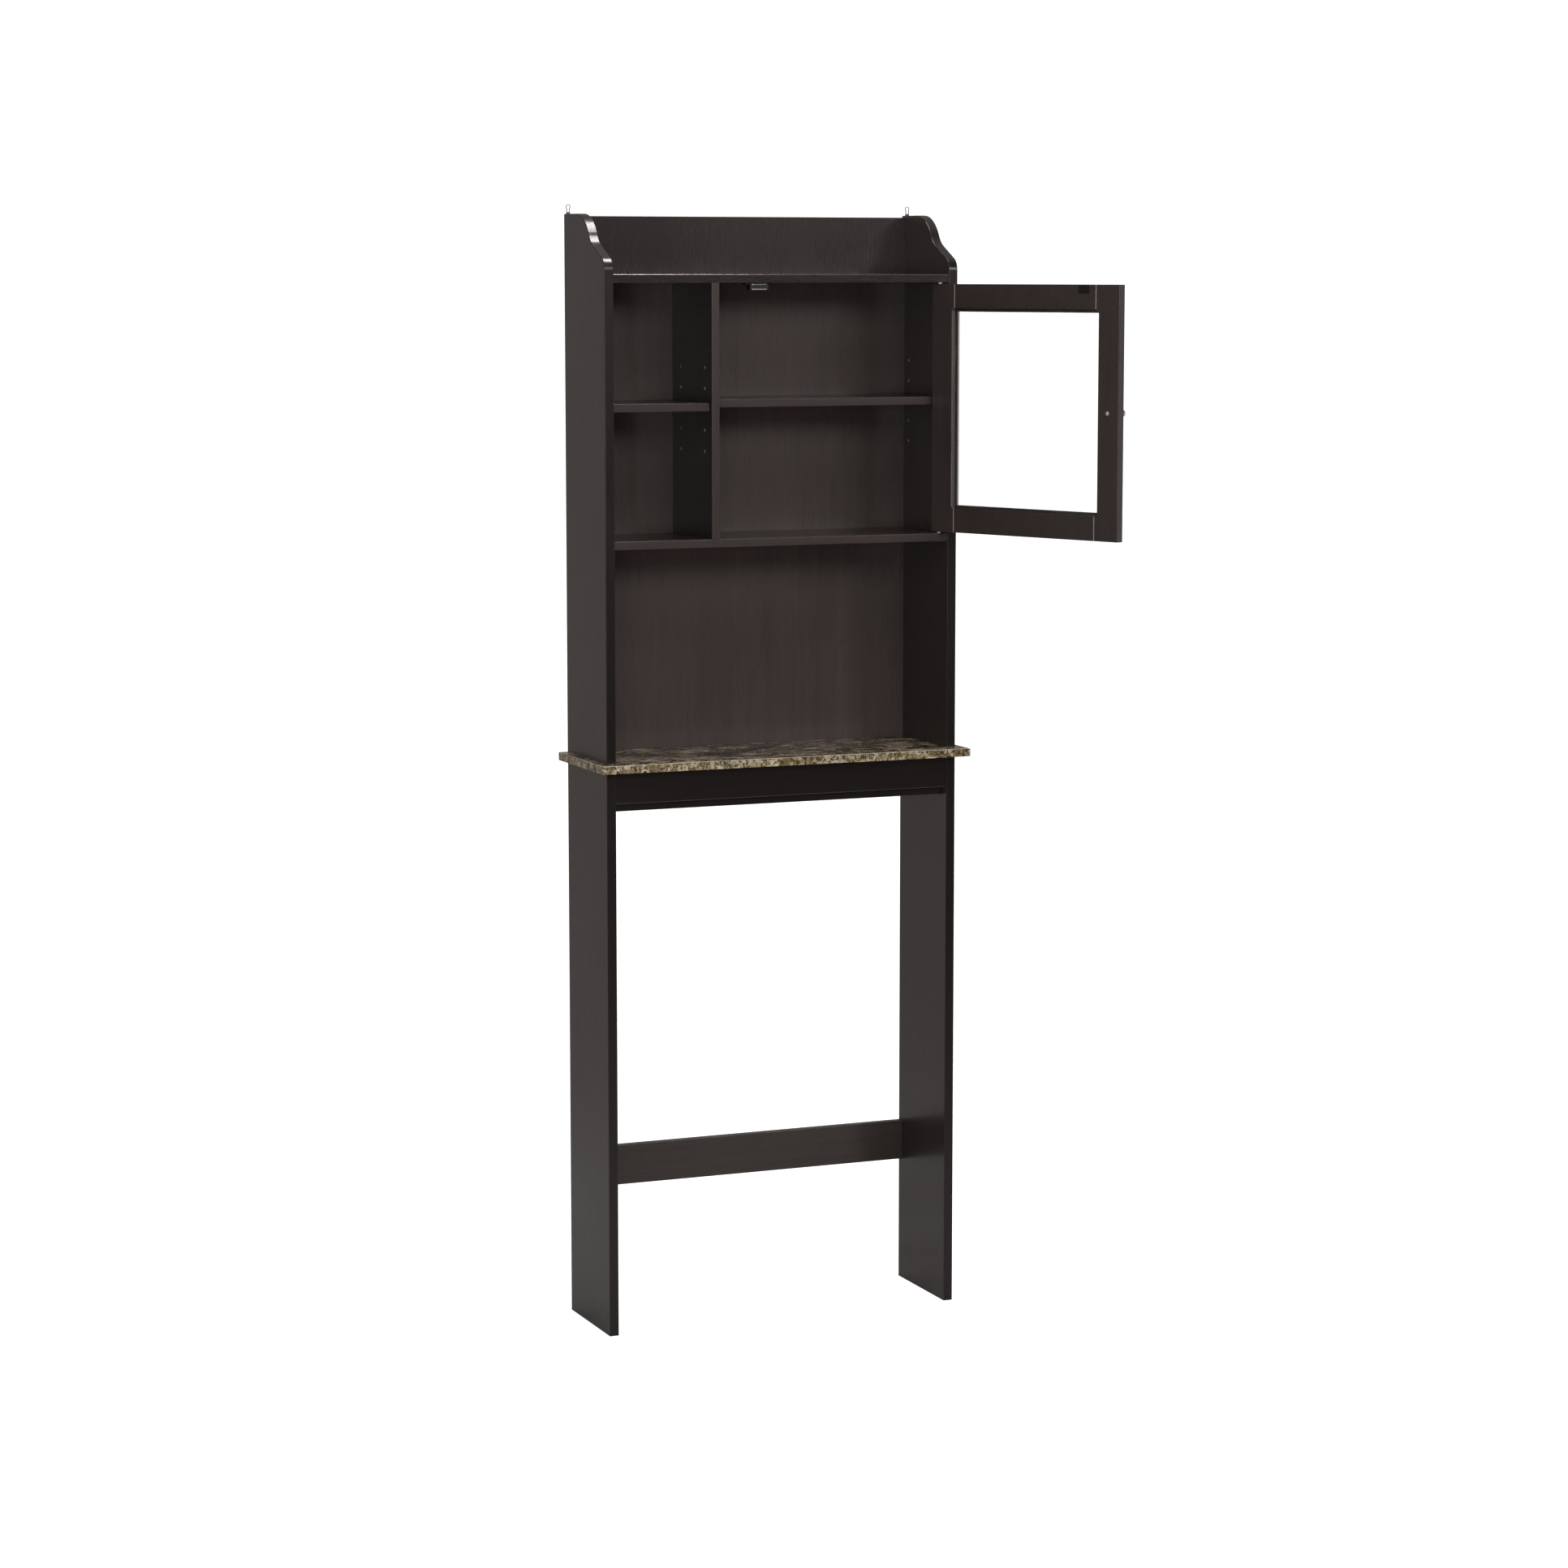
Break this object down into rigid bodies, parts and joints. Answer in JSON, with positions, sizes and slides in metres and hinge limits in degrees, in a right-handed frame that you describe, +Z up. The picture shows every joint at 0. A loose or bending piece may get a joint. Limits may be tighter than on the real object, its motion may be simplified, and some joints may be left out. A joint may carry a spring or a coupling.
{
  "type": "over the toilet storage rack",
  "caption": "Tall over-the-toilet storage rack: open leg frame, stone-look counter, open bay, cabinet with a glazed pivot door and adjustable shelves, and a railed top.",
  "frame": {"origin": "on the floor, midway between the legs and midway between their front and rear edges", "axes": "+Z up, the front faces -Y, +X to the right as seen from the front"},
  "size_m": [0.7373, 0.5159, 1.7447],
  "materials": {
    "espresso_board": "dark espresso lacquered board, satin",
    "stone_laminate": "brown stone-look laminate, glossy, tan edge",
    "beech_dowel": "plain fluted beech",
    "zinc_casting": "die-cast zinc, matte",
    "zinc_plated_steel": "bright zinc-plated steel",
    "catch_plastic": "dark brown moulded plastic",
    "ferrite": "sintered ferrite, matte",
    "white_nylon": "white nylon, moulded",
    "clear_glass": "clear float glass",
    "dark_sealant": "dark brown glazing sealant, satin",
    "bronzed_steel": "dark bronzed steel",
    "brushed_nickel": "brushed nickel"
  },
  "bodies": {
    "carcass": {"leg_panel_left": "espresso_board", "leg_panel_right": "espresso_board", "counter_top": "stone_laminate", "front_apron": "espresso_board", "under_board": "espresso_board", "rear_stretcher": "espresso_board", "side_panel_left": "espresso_board", "side_panel_right": "espresso_board", "top_shelf": "espresso_board", "bottom_shelf": "espresso_board", "divider": "espresso_board", "back_panel": "espresso_board", "gallery_board": "espresso_board", "shelf_pins_left": "zinc_plated_steel", "shelf_pins_right": "zinc_plated_steel", "wood_dowels": "beech_dowel", "through_dowels": "beech_dowel", "cam_locks": "zinc_casting", "cam_bolts": "zinc_plated_steel", "counter_screws": "zinc_plated_steel", "back_screws": "zinc_plated_steel", "wall_hanger_left": "zinc_plated_steel", "wall_hanger_right": "zinc_plated_steel", "wall_hanger_screws": "zinc_plated_steel", "catch_body": "catch_plastic", "catch_magnet": "ferrite", "catch_pole_plates": "zinc_plated_steel", "catch_screws": "zinc_plated_steel", "pivot_bushing_top": "white_nylon", "pivot_bushing_bottom": "white_nylon"},
    "door": {"door_stile_hinge": "espresso_board", "door_stile_latch": "espresso_board", "door_rail_top": "espresso_board", "door_rail_bottom": "espresso_board", "door_dowels": "beech_dowel", "door_glass": "clear_glass", "glazing_seal": "dark_sealant", "door_knob": "brushed_nickel", "knob_screw": "zinc_plated_steel", "strike_plate": "bronzed_steel", "strike_screws": "bronzed_steel", "pivot_pin_top": "zinc_plated_steel", "pivot_pin_bottom": "zinc_plated_steel"},
    "left_shelf": {"adjustable_shelf_left": "espresso_board"},
    "right_shelf": {"adjustable_shelf_right": "espresso_board"}
  },
  "joints": [
    {"name": "door_hinge", "type": "hinge", "parent": "carcass", "child": "door", "pos_m": [0.266, -0.08265, 1.43], "axis": [0, 0, 1], "range_deg": [-112.5, 7]},
    {"name": "left_shelf_lift", "type": "slide", "parent": "carcass", "child": "left_shelf", "axis": [0, 0, 1], "range_m": [0, 0.064]},
    {"name": "right_shelf_lift", "type": "slide", "parent": "carcass", "child": "right_shelf", "axis": [0, 0, 1], "range_m": [0, 0.064]}
  ]
}
